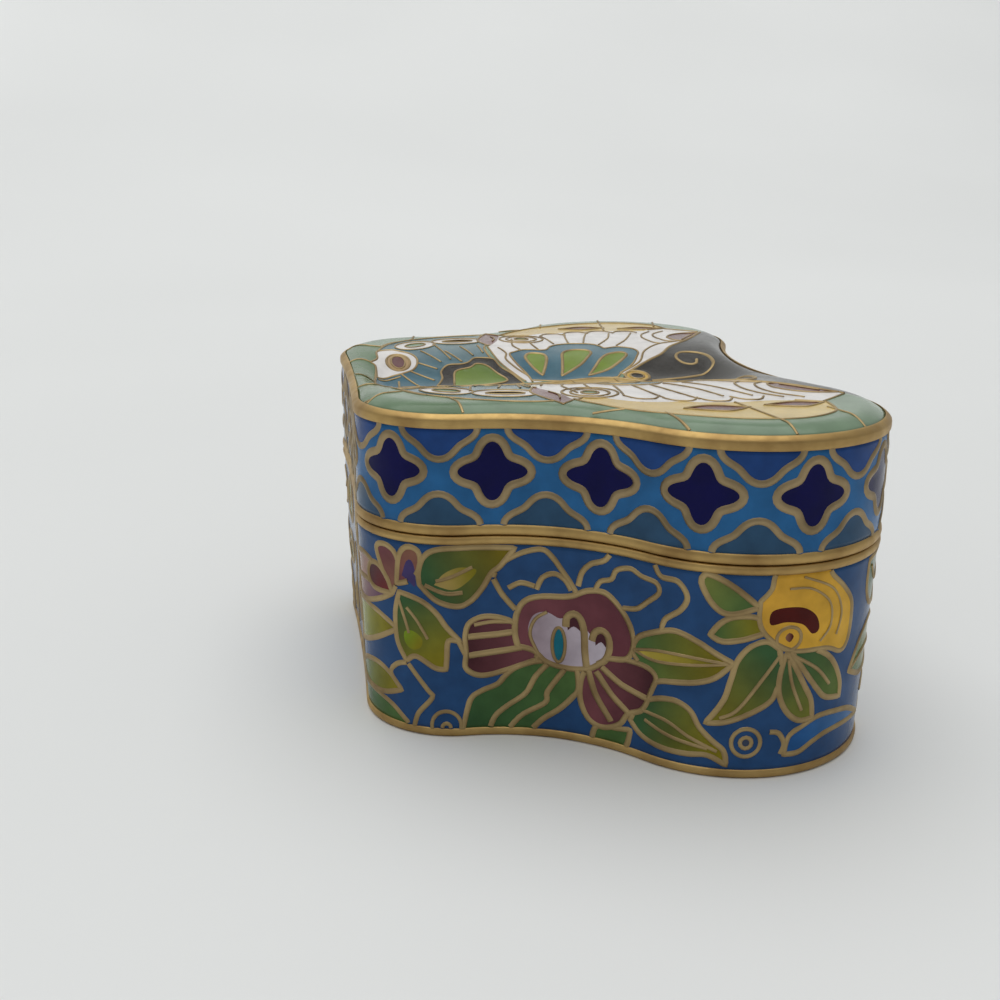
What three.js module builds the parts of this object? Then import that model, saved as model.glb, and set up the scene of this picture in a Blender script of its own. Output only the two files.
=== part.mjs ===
// A butterfly-shaped cloisonne enamel box: a copper vessel and a lift-off copper lid, gilt where the metal
// is bare, with fields of fired enamel between the gilt rims.
// Millimetres, +Z up, +X towards the butterfly's head, +Y across its wings. The origin is on the table,
// under the middle of the plan.
import * as THREE from 'three';
import { ParametricGeometry } from 'three/addons/geometries/ParametricGeometry.js';
import { mergeVertices } from 'three/addons/utils/BufferGeometryUtils.js';

// Plan at the rims: wing circles, a fillet between them, and shallow arcs across the tail and the head.
const HIND_WING = { x: -16.35, y: 15.3, r: 10.5 };
const FORE_WING = { x: 11.7, y: 24.05, r: 15.15 };
const WAIST_RADIUS = 20.3;
const TAIL_X = -26.55;
const HEAD_X = 22.05;
const CHORD_ERROR = 0.09;
const LONGEST_CHORD = 3.6;

// Heights.
const BODY_HEIGHT = 22.2;
const LID_HEIGHT = 11.55;
const SEAM_GAP = 0.25;

// Wall make-up, from the outside in: enamel, then copper sheet.
const RIM_PROUD = 0.15;
const ENAMEL = 0.65;
const FIT_GAP = 0.25;
const COPPER = 0.85;
const SEAT = RIM_PROUD + ENAMEL + FIT_GAP;
const INNER_WALL = SEAT + COPPER;

// Body: the wall draws in towards the foot.
const FOOT_TAPER = 0.76;
const FOOT_WIDTH = 2.2;
const FOOT_CHAMFER = 0.25;
const FOOT_RIM = 0.95;
const BODY_RIM = 0.95;
const BASE_SEAT = 1.05;
const BASE_ENAMEL = 0.5;
const FLOOR_FILLET = 0.8;

// Locating lip: a strip soldered inside the mouth, which the lid drops over.
const LIP_CLEARANCE = 0.4;
const LIP_THICKNESS = 0.65;
const LIP_RISE = 2.3;
const LIP_DEPTH = 3.2;

// Lid: a rolled bead round a top that is domed over each wing, with a valley along the butterfly's body.
const LID_RIM = 0.95;
const BEAD_HEIGHT = 0.9;
const BEAD_SHOULDER = 0.22;
const BEAD_WIDTH = 0.7;
const BEAD_PROUD = 0.06;
const DOME_RISE = 1.47;
const DOME_EDGE = 3.1;
const VALLEY_DEPTH = 3.06;
const VALLEY_EDGE = 5.0;
const VALLEY_HALF_WIDTH = 8.9;
const VALLEY_STEPS = [1, 0.6, 0.4, 0.25, 0.12];
const CEILING_STEPS = [1, 0.6, 0.3];
const CEILING_FILLET = 1.3;

const GILT = new THREE.Color(0.72, 0.53, 0.25);
const WALL_BLUE = new THREE.Color(0.07, 0.2, 0.42);
const BAND_BLUE = new THREE.Color(0.06, 0.27, 0.5);
const BASE_BLUE = new THREE.Color(0.05, 0.3, 0.46);
const WING_GREEN = new THREE.Color(0.42, 0.52, 0.4);

const bearing = (from, to) => Math.atan2(to.y - from.y, to.x - from.x);

// How many straight steps keep an arc within the chord error and the longest chord.
function arcSteps(radius, sweep) {
  const step = Math.min(2 * Math.acos(1 - CHORD_ERROR / radius), LONGEST_CHORD / radius);
  return Math.ceil(Math.abs(sweep) / step);
}

// Centre on the axis of the shallow arc that passes through x there and meets a wing circle smoothly.
function axisArc(x, wing) {
  const reach = Math.abs(x - wing.x);
  const radius = (wing.y ** 2 + reach ** 2 - wing.r ** 2) / (2 * (wing.r - reach));
  return { x: x + Math.sign(x) * radius, y: 0, r: radius };
}

// Centre of the fillet that touches both wing circles from outside.
function waistArc() {
  const apart = Math.hypot(FORE_WING.x - HIND_WING.x, FORE_WING.y - HIND_WING.y);
  const toHind = HIND_WING.r + WAIST_RADIUS;
  const toFore = FORE_WING.r + WAIST_RADIUS;
  const along = (toHind ** 2 - toFore ** 2 + apart ** 2) / (2 * apart);
  const out = Math.sqrt(toHind ** 2 - along ** 2);
  const lean = bearing(HIND_WING, FORE_WING);
  return {
    x: HIND_WING.x + along * Math.cos(lean) - out * Math.sin(lean),
    y: HIND_WING.y + along * Math.sin(lean) + out * Math.cos(lean),
    r: WAIST_RADIUS,
  };
}

// The closed plan, drawn in by inset: round stretches lose it from their radius and hollow ones gain it.
// The arcs keep their centres and bearings, so every inset gives the same number of points.
function plan(inset) {
  const head = axisArc(HEAD_X, FORE_WING);
  const tail = axisArc(TAIL_X, HIND_WING);
  const waist = waistArc();
  const outward = Math.PI / 2;
  const tailward = bearing(HIND_WING, tail) + 2 * Math.PI;
  const arcs = [
    { of: head, hollow: true, turns: [Math.PI, bearing(head, FORE_WING)] },
    { of: FORE_WING, hollow: false, turns: [bearing(FORE_WING, head), 0, outward, bearing(FORE_WING, waist)] },
    { of: waist, hollow: true, turns: [bearing(waist, FORE_WING), bearing(waist, HIND_WING)] },
    { of: HIND_WING, hollow: false, turns: [bearing(HIND_WING, waist), tailward] },
    { of: tail, hollow: true, turns: [bearing(tail, HIND_WING), 0] },
  ];
  const half = [];
  for (const { of, hollow, turns } of arcs) {
    const radius = hollow ? of.r + inset : of.r - inset;
    for (let i = 0; i + 1 < turns.length; i += 1) {
      const arc = new THREE.EllipseCurve(of.x, of.y, radius, radius, turns[i], turns[i + 1], hollow);
      half.push(...arc.getPoints(arcSteps(of.r, turns[i + 1] - turns[i])).slice(0, -1));
    }
  }
  const tailPoint = new THREE.Vector2(TAIL_X + inset, 0);
  const mirrored = half.slice(1).reverse().map((p) => new THREE.Vector2(p.x, -p.y));
  return [...half, tailPoint, ...mirrored];
}

// A level line of the body. The plan is at its widest at the seam and smallest at the foot.
function bodyLine(inset, z) {
  const taper = FOOT_TAPER * (1 - Math.min(z / BODY_HEIGHT, 1));
  return plan(inset + taper).map((p) => new THREE.Vector3(p.x, p.y, z));
}

// A level line of the lid's straight wall.
function lidLine(inset, z) {
  return plan(inset).map((p) => new THREE.Vector3(p.x, p.y, z));
}

// Height of the lid's top at a distance y from the body axis, as far in from the edge as inset.
function domeHeight(y, inset) {
  const rise = Math.min(inset / DOME_EDGE, 1);
  const sink = THREE.MathUtils.smoothstep(inset, 0, VALLEY_EDGE);
  const valley = VALLEY_DEPTH * Math.exp(-((y / VALLEY_HALF_WIDTH) ** 2));
  return LID_HEIGHT + DOME_RISE * rise * (2 - rise) - sink * valley;
}

// A line that runs round the domed top, lower than it by drop. Inside the valley's run-out the lines
// shrink towards the middle of the plan.
function domeLine(inset, drop, shrink = 1) {
  return plan(inset).map((p) => {
    const y = p.y * shrink;
    return new THREE.Vector3(p.x * shrink, y, domeHeight(y, inset) - drop);
  });
}

const valleyLines = (drop, steps) => steps.map((shrink) => domeLine(VALLEY_EDGE, drop, shrink));

// All of a line drawn together into one point on the vertical axis.
const pole = (z) => plan(0).map(() => new THREE.Vector3(0, 0, z));

// The skin laid over lines of equal point count, as one closed body with its corners shared.
function skin(lines) {
  const around = lines[0].length;
  const surface = (turn, along, target) => {
    const line = lines[Math.round(along * (lines.length - 1))];
    target.copy(line[Math.round(turn * around) % around]);
  };
  const geometry = new ParametricGeometry(surface, around, lines.length - 1);
  geometry.deleteAttribute('normal');
  geometry.deleteAttribute('uv');
  return withoutSlivers(mergeVertices(geometry));
}

// Drops the triangles that a pole draws together into a line.
function withoutSlivers(geometry) {
  const corners = geometry.index.array;
  const kept = [];
  for (let i = 0; i < corners.length; i += 3) {
    const [a, b, c] = corners.slice(i, i + 3);
    if (a !== b && b !== c && c !== a) kept.push(a, b, c);
  }
  geometry.setIndex(kept);
  return geometry;
}

function piece(name, lines, color, metalness, roughness) {
  const material = new THREE.MeshStandardMaterial({ color, metalness, roughness, flatShading: true });
  const mesh = new THREE.Mesh(skin(lines), material);
  mesh.name = name;
  return mesh;
}

const gilt = (name, lines) => piece(name, lines, GILT, 1, 0.35);
const enamel = (name, lines, color) => piece(name, lines, color, 0, 0.15);

// The vessel, from the middle of its underside, out over the foot, up the wall, over the lip and down
// the inside to the middle of its floor.
function boxBody() {
  const floor = BASE_SEAT + COPPER;
  const rimBottom = BODY_HEIGHT - BODY_RIM;
  const lipOuter = INNER_WALL + LIP_CLEARANCE;
  const lipInner = lipOuter + LIP_THICKNESS;
  const lipBottom = BODY_HEIGHT - LIP_DEPTH;
  return gilt('box_body', [
    pole(BASE_SEAT),
    bodyLine(FOOT_WIDTH, BASE_SEAT),
    bodyLine(FOOT_WIDTH, 0),
    bodyLine(FOOT_CHAMFER, 0),
    bodyLine(0, FOOT_CHAMFER),
    bodyLine(0, FOOT_RIM),
    bodyLine(SEAT, FOOT_RIM),
    bodyLine(SEAT, rimBottom),
    bodyLine(0, rimBottom),
    bodyLine(0, BODY_HEIGHT),
    bodyLine(lipOuter, BODY_HEIGHT),
    bodyLine(lipOuter, BODY_HEIGHT + LIP_RISE),
    bodyLine(lipInner, BODY_HEIGHT + LIP_RISE),
    bodyLine(lipInner, lipBottom),
    bodyLine(INNER_WALL, lipBottom - LIP_THICKNESS),
    bodyLine(INNER_WALL, floor + FLOOR_FILLET),
    bodyLine(INNER_WALL + FLOOR_FILLET, floor),
    pole(floor),
  ]);
}

// The flowered enamel round the body, in the recess between the foot and the upper rim.
function bodyEnamel() {
  const bottom = FOOT_RIM + FIT_GAP;
  const top = BODY_HEIGHT - BODY_RIM - FIT_GAP;
  const inner = RIM_PROUD + ENAMEL;
  return enamel('body_enamel', [
    bodyLine(inner, bottom),
    bodyLine(RIM_PROUD, bottom),
    bodyLine(RIM_PROUD, top),
    bodyLine(inner, top),
    bodyLine(inner, bottom),
  ], WALL_BLUE);
}

// The counter-enamel panel under the floor, held clear of the table by the foot.
function baseEnamel() {
  const inset = FOOT_WIDTH + FIT_GAP;
  const top = BASE_SEAT - FIT_GAP;
  const bottom = top - BASE_ENAMEL;
  return enamel('base_enamel', [pole(bottom), bodyLine(inset, bottom), bodyLine(inset, top), pole(top)], BASE_BLUE);
}

// The lid's copper, from the middle of its ceiling, down the inside, round the lower rim, up the wall,
// over the bead and in to the middle of the seat under the top enamel.
function lidShell() {
  const seatDrop = ENAMEL + FIT_GAP;
  const ceilingDrop = seatDrop + COPPER;
  const beadBottom = LID_HEIGHT - BEAD_HEIGHT;
  const shoulder = domeLine(BEAD_SHOULDER, -BEAD_PROUD);
  const beadInner = domeLine(BEAD_WIDTH, -BEAD_PROUD);
  return gilt('lid_shell', [
    pole(domeHeight(0, VALLEY_EDGE) - ceilingDrop),
    ...valleyLines(ceilingDrop, CEILING_STEPS).reverse(),
    domeLine(INNER_WALL + CEILING_FILLET, ceilingDrop),
    lidLine(INNER_WALL, beadBottom - COPPER),
    lidLine(INNER_WALL, 0),
    lidLine(0, 0),
    lidLine(0, LID_RIM),
    lidLine(SEAT, LID_RIM),
    lidLine(SEAT, beadBottom),
    lidLine(0, beadBottom),
    lidLine(0, LID_HEIGHT),
    shoulder,
    beadInner,
    domeLine(BEAD_WIDTH, seatDrop),
    domeLine(DOME_EDGE / 2, seatDrop),
    domeLine(DOME_EDGE, seatDrop),
    ...valleyLines(seatDrop, VALLEY_STEPS),
    pole(domeHeight(0, VALLEY_EDGE) - seatDrop),
  ]);
}

// The quatrefoil enamel round the lid's wall.
function lidSideEnamel() {
  const bottom = LID_RIM + FIT_GAP;
  const top = LID_HEIGHT - BEAD_HEIGHT - FIT_GAP;
  const inner = RIM_PROUD + ENAMEL;
  return enamel('lid_side_enamel', [
    lidLine(inner, bottom),
    lidLine(RIM_PROUD, bottom),
    lidLine(RIM_PROUD, top),
    lidLine(inner, top),
    lidLine(inner, bottom),
  ], BAND_BLUE);
}

// The butterfly enamel that fills the domed top inside the bead.
function lidTopEnamel() {
  const edge = BEAD_WIDTH + FIT_GAP;
  return enamel('lid_top_enamel', [
    pole(domeHeight(0, VALLEY_EDGE) - ENAMEL),
    ...valleyLines(ENAMEL, VALLEY_STEPS).reverse(),
    domeLine(DOME_EDGE, ENAMEL),
    domeLine(DOME_EDGE / 2, ENAMEL),
    domeLine(edge, ENAMEL),
    domeLine(edge, 0),
    domeLine(DOME_EDGE / 2, 0),
    domeLine(DOME_EDGE, 0),
    ...valleyLines(0, VALLEY_STEPS),
    pole(domeHeight(0, VALLEY_EDGE)),
  ], WING_GREEN);
}

const body = new THREE.Group();
body.add(boxBody(), bodyEnamel(), baseEnamel());

const lid = new THREE.Group();
lid.add(lidShell(), lidSideEnamel(), lidTopEnamel());
lid.position.z = BODY_HEIGHT + SEAM_GAP;

const box = new THREE.Group();
box.add(body, lid);

export default box;
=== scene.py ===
import math
from collections import namedtuple

import bmesh
import bpy
from mathutils import Matrix, Vector, kdtree
from mathutils.geometry import delaunay_2d_cdt


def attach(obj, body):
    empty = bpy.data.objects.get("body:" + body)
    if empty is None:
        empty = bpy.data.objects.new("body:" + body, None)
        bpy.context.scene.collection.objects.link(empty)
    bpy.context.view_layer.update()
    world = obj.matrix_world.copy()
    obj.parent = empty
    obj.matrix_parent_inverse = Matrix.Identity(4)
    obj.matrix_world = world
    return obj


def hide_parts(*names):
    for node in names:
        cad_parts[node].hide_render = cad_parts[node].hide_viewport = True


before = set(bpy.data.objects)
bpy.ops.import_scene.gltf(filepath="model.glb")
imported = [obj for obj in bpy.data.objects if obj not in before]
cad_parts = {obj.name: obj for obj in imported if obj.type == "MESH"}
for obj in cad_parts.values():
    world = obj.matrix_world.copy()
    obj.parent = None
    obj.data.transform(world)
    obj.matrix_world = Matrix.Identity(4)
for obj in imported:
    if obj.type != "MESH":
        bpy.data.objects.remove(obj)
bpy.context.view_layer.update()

# The vessel. Copper strip is bent on edge to a butterfly's outline and soldered to a flat floor, and draws
# in a little towards the foot. The foot, the upper rim and the lip inside the mouth are strips soldered on,
# and all the bare copper is gilded and burnished. Sizes here and below are in millimetres.
MM = 0.001
BODY_HEIGHT = 22.2
TAIL_X, HEAD_X = -26.55, 22.05
WAIST_RADIUS = 20.3
FOOT_TAPER = 0.76
FOOT_WIDTH, FOOT_RIM = 2.2, 0.95
BODY_RIM = 0.95
BASE_SEAT = 1.05
COPPER = 0.85
SEAT = 1.05
INNER_WALL = SEAT + COPPER
FLOOR = BASE_SEAT + COPPER
FLOOR_FILLET = 0.8
LIP_OUTER, LIP_THICKNESS, LIP_RISE, LIP_DEPTH = INNER_WALL + 0.4, 0.65, 2.3, 3.2
STRIP_DEPTH, STRIP_STEPS = 0.34, 8
COPPER_CREASE = math.radians(38)
POINTS_ROUND = 300

Arc = namedtuple("Arc", "centre radius start sweep hollow")
Round = namedtuple("Round", "centre radius")
HIND_WING = Round(Vector((-16.35, 15.3)), 10.5)
FORE_WING = Round(Vector((11.7, 24.05)), 15.15)


def bearing(a, b):
    return math.atan2(b.y - a.y, b.x - a.x)


def shallow_arc(x, wing):
    """The hollow arc across the butterfly's body at x, which meets a wing smoothly."""
    reach = abs(x - wing.centre.x)
    radius = (wing.centre.y ** 2 + reach ** 2 - wing.radius ** 2) / (2 * (wing.radius - reach))
    return Round(Vector((x + math.copysign(radius, x), 0)), radius)


def waist_arc():
    """The hollow arc between the hind wing and the fore wing."""
    along = FORE_WING.centre - HIND_WING.centre
    to_hind, to_fore = HIND_WING.radius + WAIST_RADIUS, FORE_WING.radius + WAIST_RADIUS
    down = (to_hind ** 2 - to_fore ** 2 + along.length_squared) / (2 * along.length)
    out = math.sqrt(to_hind ** 2 - down ** 2)
    unit = along.normalized()
    return Round(HIND_WING.centre + unit * down + Vector((-unit.y, unit.x)) * out, WAIST_RADIUS)


def plan_arcs():
    """The arcs of the wall, from the middle of the tail along the near side to the head, and back."""
    tail, head, waist = shallow_arc(TAIL_X, HIND_WING), shallow_arc(HEAD_X, FORE_WING), waist_arc()
    hind, fore = HIND_WING, FORE_WING
    turns = [
        (tail, 0, bearing(tail.centre, hind.centre), True),
        (hind, bearing(hind.centre, tail.centre) + 2 * math.pi, bearing(hind.centre, waist.centre), False),
        (waist, bearing(waist.centre, hind.centre), bearing(waist.centre, fore.centre), True),
        (fore, bearing(fore.centre, waist.centre), bearing(fore.centre, head.centre), False),
        (head, bearing(head.centre, fore.centre), math.pi, True),
    ]
    far = [Arc(w.centre, w.radius, b, a - b, hollow) for w, a, b, hollow in reversed(turns)]
    near = [Arc(Vector((w.centre.x, -w.centre.y)), w.radius, -a, a - b, hollow) for w, a, b, hollow in turns]
    return near + far


PLAN = plan_arcs()
GIRTH = sum(abs(arc.sweep) * arc.radius for arc in PLAN)
HALF_GIRTH = GIRTH / 2


def wall_at(run, inset):
    """The point of the wall at a run round the girth, counted from the tail, and drawn in by inset."""
    run = run % GIRTH
    for arc in PLAN:
        length = abs(arc.sweep) * arc.radius
        if run <= length:
            break
        run -= length
    angle = arc.start + arc.sweep * min(run / length, 1)
    radius = arc.radius + (inset if arc.hollow else -inset)
    return arc.centre.x + radius * math.cos(angle), arc.centre.y + radius * math.sin(angle)


def body_point(run, z, proud):
    taper = FOOT_TAPER * (1 - min(z / BODY_HEIGHT, 1))
    return Vector((*wall_at(run, taper - proud), z))


def round_the_plan(inset):
    return [wall_at(GIRTH * i / POINTS_ROUND, inset) for i in range(POINTS_ROUND)]


def body_line(inset, z):
    taper = FOOT_TAPER * (1 - min(z / BODY_HEIGHT, 1))
    return [Vector((x, y, z)) for x, y in round_the_plan(inset + taper)]


def round_strip(line, low, high):
    """Lines over a half-round strip from a low height to a high one, at its fullest half-way."""
    middle, half = (low + high) / 2, (high - low) / 2
    turns = [math.pi * i / STRIP_STEPS for i in range(STRIP_STEPS + 1)]
    return [line(STRIP_DEPTH * (1 - math.sin(t)), middle - half * math.cos(t)) for t in turns]


def draw_skin(name, lines):
    """Extrudes one closed ring of copper from line to line, and closes both ends."""
    bm = bmesh.new()
    number = bm.verts.layers.int.new("number")
    ring = [bm.verts.new(point) for point in lines[0]]
    for i, vert in enumerate(ring):
        vert[number] = i
    edges = [bm.edges.new((ring[i - 1], ring[i])) for i in range(len(ring))]
    bmesh.ops.contextual_create(bm, geom=edges)
    for line in lines[1:]:
        drawn = bmesh.ops.extrude_edge_only(bm, edges=edges)["geom"]
        edges = [g for g in drawn if isinstance(g, bmesh.types.BMEdge)]
        for vert in (g for g in drawn if isinstance(g, bmesh.types.BMVert)):
            vert.co = line[vert[number]]
    bmesh.ops.contextual_create(bm, geom=edges)
    bm.verts.layers.int.remove(number)
    return make_piece(name, bm, crease=COPPER_CREASE)


def make_piece(name, bm, crease=math.pi):
    """Turns a finished bmesh in millimetres into a smooth-shaded piece that rides on the box."""
    bmesh.ops.scale(bm, vec=(MM, MM, MM), verts=bm.verts)
    bmesh.ops.recalc_face_normals(bm, faces=bm.faces)
    for face in bm.faces:
        face.smooth = True
    for edge in bm.edges:
        edge.smooth = edge.calc_face_angle(0) < crease
    mesh = bpy.data.meshes.new(name)
    bm.to_mesh(mesh)
    bm.free()
    piece = bpy.data.objects.new(name, mesh)
    bpy.context.scene.collection.objects.link(piece)
    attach(piece, "root")
    return piece


def new_material(name):
    material = bpy.data.materials.new(name)
    material.use_nodes = True
    nodes = material.node_tree.nodes
    return material, nodes, material.node_tree.links, nodes["Principled BSDF"]


def noise(nodes, links, scale, detail=3.0, where=None):
    """A noise over the object's own place, in spots about 1/scale of a metre across."""
    texture = nodes.new("ShaderNodeTexNoise")
    texture.inputs["Scale"].default_value = scale
    texture.inputs["Detail"].default_value = detail
    if where is None:
        where = nodes.new("ShaderNodeTexCoord").outputs["Object"]
    links.new(where, texture.inputs["Vector"])
    return texture.outputs["Fac"]


def ramp(nodes, links, fac, stops):
    """A ramp through (place, colour) stops."""
    band = nodes.new("ShaderNodeValToRGB")
    links.new(fac, band.inputs["Fac"])
    elements = band.color_ramp.elements
    while len(elements) < len(stops):
        elements.new(0.5)
    for element, (place, colour) in zip(elements, stops):
        element.position = place
        element.color = (*colour, 1)
    return band.outputs["Color"]


def between(nodes, links, fac, low, high):
    """A number between low and high, as fac goes from 0.3 to 0.7."""
    span = nodes.new("ShaderNodeMapRange")
    span.inputs["From Min"].default_value = 0.3
    span.inputs["From Max"].default_value = 0.7
    span.inputs["To Min"].default_value = low
    span.inputs["To Max"].default_value = high
    links.new(fac, span.inputs["Value"])
    return span.outputs["Result"]


def bump(nodes, links, shader, height, strength, distance):
    ripple = nodes.new("ShaderNodeBump")
    ripple.inputs["Strength"].default_value = strength
    ripple.inputs["Distance"].default_value = distance
    links.new(height, ripple.inputs["Height"])
    links.new(ripple.outputs["Normal"], shader.inputs["Normal"])


def gilt_material(name, worn, bright, rough):
    """Gilding over copper: cloudy from handling, duller where it has worn, with fine burnishing marks."""
    material, nodes, links, shader = new_material(name)
    clouds = noise(nodes, links, 210, 4)
    links.new(ramp(nodes, links, clouds, [(0.32, worn), (0.62, bright)]), shader.inputs["Base Color"])
    shader.inputs["Metallic"].default_value = 1.0
    marks = noise(nodes, links, 900, 3)
    links.new(between(nodes, links, marks, rough, rough + 0.16), shader.inputs["Roughness"])
    bump(nodes, links, shader, noise(nodes, links, 1600, 2), 0.25, 0.00004)
    return material


rim_gilt = gilt_material("rim_gilt", (0.32, 0.2, 0.075), (0.5, 0.34, 0.13), 0.4)

lip_top = BODY_HEIGHT + LIP_RISE
lip_round = LIP_THICKNESS / 4
lip_inner = LIP_OUTER + LIP_THICKNESS
rim_low = BODY_HEIGHT - BODY_RIM
fillet_turns = [math.pi / 2 * i / 4 for i in range(5)]
floor_fillet = [
    body_line(INNER_WALL + FLOOR_FILLET * (1 - math.cos(t)), FLOOR + FLOOR_FILLET * (1 - math.sin(t)))
    for t in fillet_turns
]
box_body = draw_skin("vessel_copper", [
    body_line(FOOT_WIDTH, BASE_SEAT),
    body_line(FOOT_WIDTH, 0),
    *round_strip(body_line, 0, FOOT_RIM),
    body_line(SEAT, FOOT_RIM),
    body_line(SEAT, rim_low),
    *round_strip(body_line, rim_low, BODY_HEIGHT),
    body_line(LIP_OUTER, BODY_HEIGHT),
    body_line(LIP_OUTER, lip_top - lip_round),
    body_line(LIP_OUTER + lip_round, lip_top),
    body_line(lip_inner - lip_round, lip_top),
    body_line(lip_inner, lip_top - lip_round),
    body_line(lip_inner, BODY_HEIGHT - LIP_DEPTH),
    body_line(INNER_WALL, BODY_HEIGHT - LIP_DEPTH - LIP_THICKNESS),
    *floor_fillet,
])
box_body.data.materials.append(rim_gilt)
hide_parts("box_body")

# The enamel round the vessel. Flat copper wires are bent to the flowers and soldered on edge to the wall,
# and each cell between them is filled with ground glass and fired, over and over, then ground flush and
# polished. The glaze shrinks a little in each cell, so the gilt wires stand just proud of it.
ENAMEL = 0.65
RIM_PROUD = 0.15
GLAZE_TUCK = 0.12
GLAZE_DISH = 0.07
DISH_SPREAD = 0.35
WIRE_STEP = 0.34
FILL_STEP = 0.55
STRIP_STEP = 0.5
WELD = 0.002
ENAMEL_GAP = 0.25
WIRE_CREST = 0.09
WIRE_FLATNESS = 0.6
WIRE_CREASE = math.radians(60)

Bit = namedtuple("Bit", "line glaze tip width closed")


def tint(red, green, blue):
    """A colour given as 0 to 255 parts, as light."""
    return tuple(((c / 255 + 0.055) / 1.055) ** 2.4 if c > 10 else c / 3294.6 for c in (red, green, blue))


def bend(points, closed=False):
    """A smooth line through the points. A point with a third value is a sharp corner."""
    knots = [Vector(p[:2]) for p in points]
    sharp = [len(p) > 2 for p in points]
    count = len(knots)
    line = []
    for i in range(count if closed else count - 1):
        j = (i + 1) % count
        a, b = knots[i], knots[j]
        before = a if sharp[i] or (i == 0 and not closed) else knots[i - 1]
        after = b if sharp[j] or (j == count - 1 and not closed) else knots[(j + 1) % count]
        steps = max(2, math.ceil((b - a).length / WIRE_STEP))
        lead, trail = a + (b - before) / 6, b - (after - a) / 6
        for k in range(steps):
            t = k / steps
            u = 1 - t
            line.append(u ** 3 * a + 3 * u * u * t * lead + 3 * u * t * t * trail + t ** 3 * b)
    if not closed:
        line.append(knots[-1])
    return line


def oval(x, y, across, up, tilt=0):
    """An oval line round (x, y), with its half-sizes, turned by tilt degrees."""
    steps = max(12, math.ceil(2 * math.pi * max(across, up) / WIRE_STEP))
    turned = Matrix.Rotation(math.radians(tilt), 2)
    turns = [2 * math.pi * i / steps for i in range(steps)]
    return [Vector((x, y)) + turned @ Vector((across * math.cos(t), up * math.sin(t))) for t in turns]


def cell(points, glaze, tip=None, width=0.76):
    """A cell of glaze with its wire. The glaze shades from its first point to tip at the far end."""
    return Bit(bend(points, True), glaze, tip or glaze, width, True)


def dot(x, y, across, up, glaze, tilt=0, width=0.5):
    return Bit(oval(x, y, across, up, tilt), glaze, glaze, width, True)


def patch(points, glaze, tip=None):
    """Glaze laid into a cell with no wire of its own."""
    return Bit(bend(points, True), glaze, tip or glaze, 0, True)


def wire(*points, width=0.7):
    return Bit(bend(points), None, None, width, False)


def ring(x, y, across, up, width=0.5):
    return Bit(oval(x, y, across, up), None, None, width, True)


def moved(bits, along, flip=1):
    """The same bits moved along, and mirrored and stretched across the line y = 0 where flip is below 0."""
    turn = [Vector((p.x + along, p.y * flip)) for bit in bits for p in bit.line]
    points = iter(turn)
    return [bit._replace(line=[next(points) for _ in bit.line]) for bit in bits]


def box_round(line):
    xs, ys = [p.x for p in line], [p.y for p in line]
    return min(xs), min(ys), max(xs), max(ys)


def inside(point, line, limits):
    x, y = point
    if not (limits[0] < x < limits[2] and limits[1] < y < limits[3]):
        return False
    within = False
    last = line[-1]
    for here in line:
        if (here.y > y) != (last.y > y) and x < here.x + (y - here.y) * (last.x - here.x) / (last.y - here.y):
            within = not within
        last = here
    return within


def uncovered(bits, field):
    """The stretches of wire that no later cell is laid over, as (points, width, closed)."""
    runs = []
    around = box_round(field)
    covers = [(i, b.line, box_round(b.line)) for i, b in enumerate(bits) if b.glaze]
    for order, bit in enumerate(bits):
        if not bit.width:
            continue
        over = [(line, limits) for i, line, limits in covers if i > order]
        shown = [inside(p, field, around) and not any(inside(p, *c) for c in over) for p in bit.line]
        if all(shown):
            runs.append((bit.line, bit.width, bit.closed))
            continue
        if not any(shown):
            continue
        first = shown.index(False) if bit.closed else 0
        run = []
        for i in range(len(bit.line) + 1):
            k = (first + i) % len(bit.line)
            if i < len(bit.line) and shown[k]:
                run.append(bit.line[k])
                continue
            if len(run) > 1:
                runs.append((run, bit.width, False))
            run = []
    return runs


def turned_left(line):
    """The same closed line, run through anticlockwise."""
    area = sum(a.cross(b) for a, b in zip(line, line[1:] + line[:1]))
    return line if area > 0 else line[::-1]


def even_fill(field):
    """Evenly spaced spots over a field."""
    low_x, low_y, high_x, high_y = box_round(field)
    across, up = math.ceil((high_x - low_x) / FILL_STEP), math.ceil((high_y - low_y) / FILL_STEP)
    return [
        Vector((low_x + (high_x - low_x) * i / across, low_y + (high_y - low_y) * j / up))
        for i in range(across + 1) for j in range(1, up)
    ]


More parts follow.
